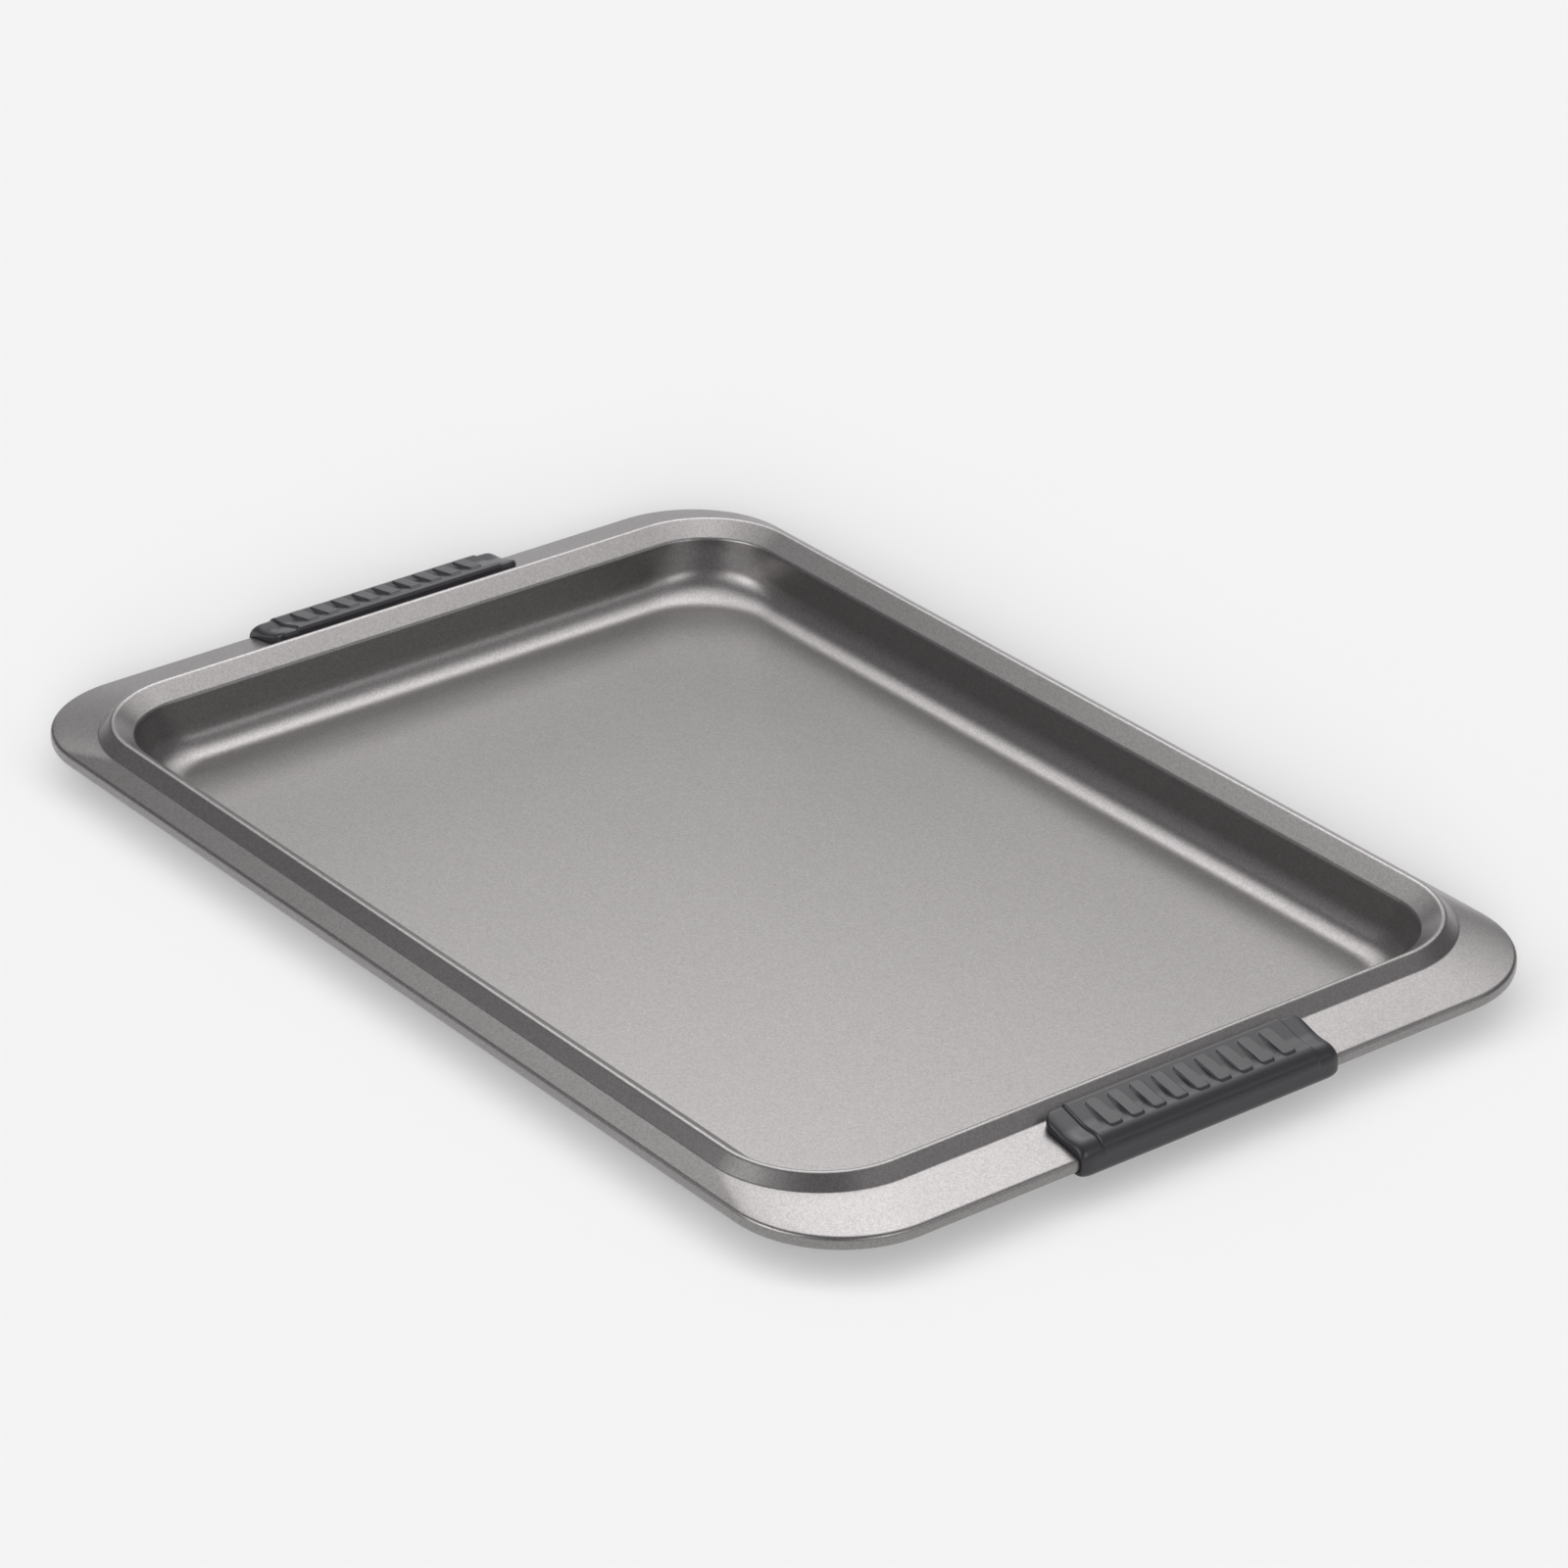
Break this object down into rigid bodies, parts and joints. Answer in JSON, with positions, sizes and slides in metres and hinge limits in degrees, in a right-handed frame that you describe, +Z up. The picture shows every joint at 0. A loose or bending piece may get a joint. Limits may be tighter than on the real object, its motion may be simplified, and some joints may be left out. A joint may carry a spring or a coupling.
{
  "type": "cookie sheet",
  "caption": "Shallow rectangular steel baking sheet with rounded corners, a beaded rim, a rolled edge and moulded silicone grips on its short ends.",
  "frame": {"origin": "middle of the floor's underside, on the surface that the pan stands on", "axes": "+X along the pan's length towards the right grip, +Y across it, +Z up out of the pan"},
  "size_m": [0.4304, 0.285, 0.0256],
  "materials": {
    "coated_steel": "satin metallic non-stick coating with a fine grain",
    "silicone": "matt moulded silicone"
  },
  "bodies": {
    "root": {"pan": "coated_steel", "right_grip": "silicone", "left_grip": "silicone"}
  },
  "joints": []
}
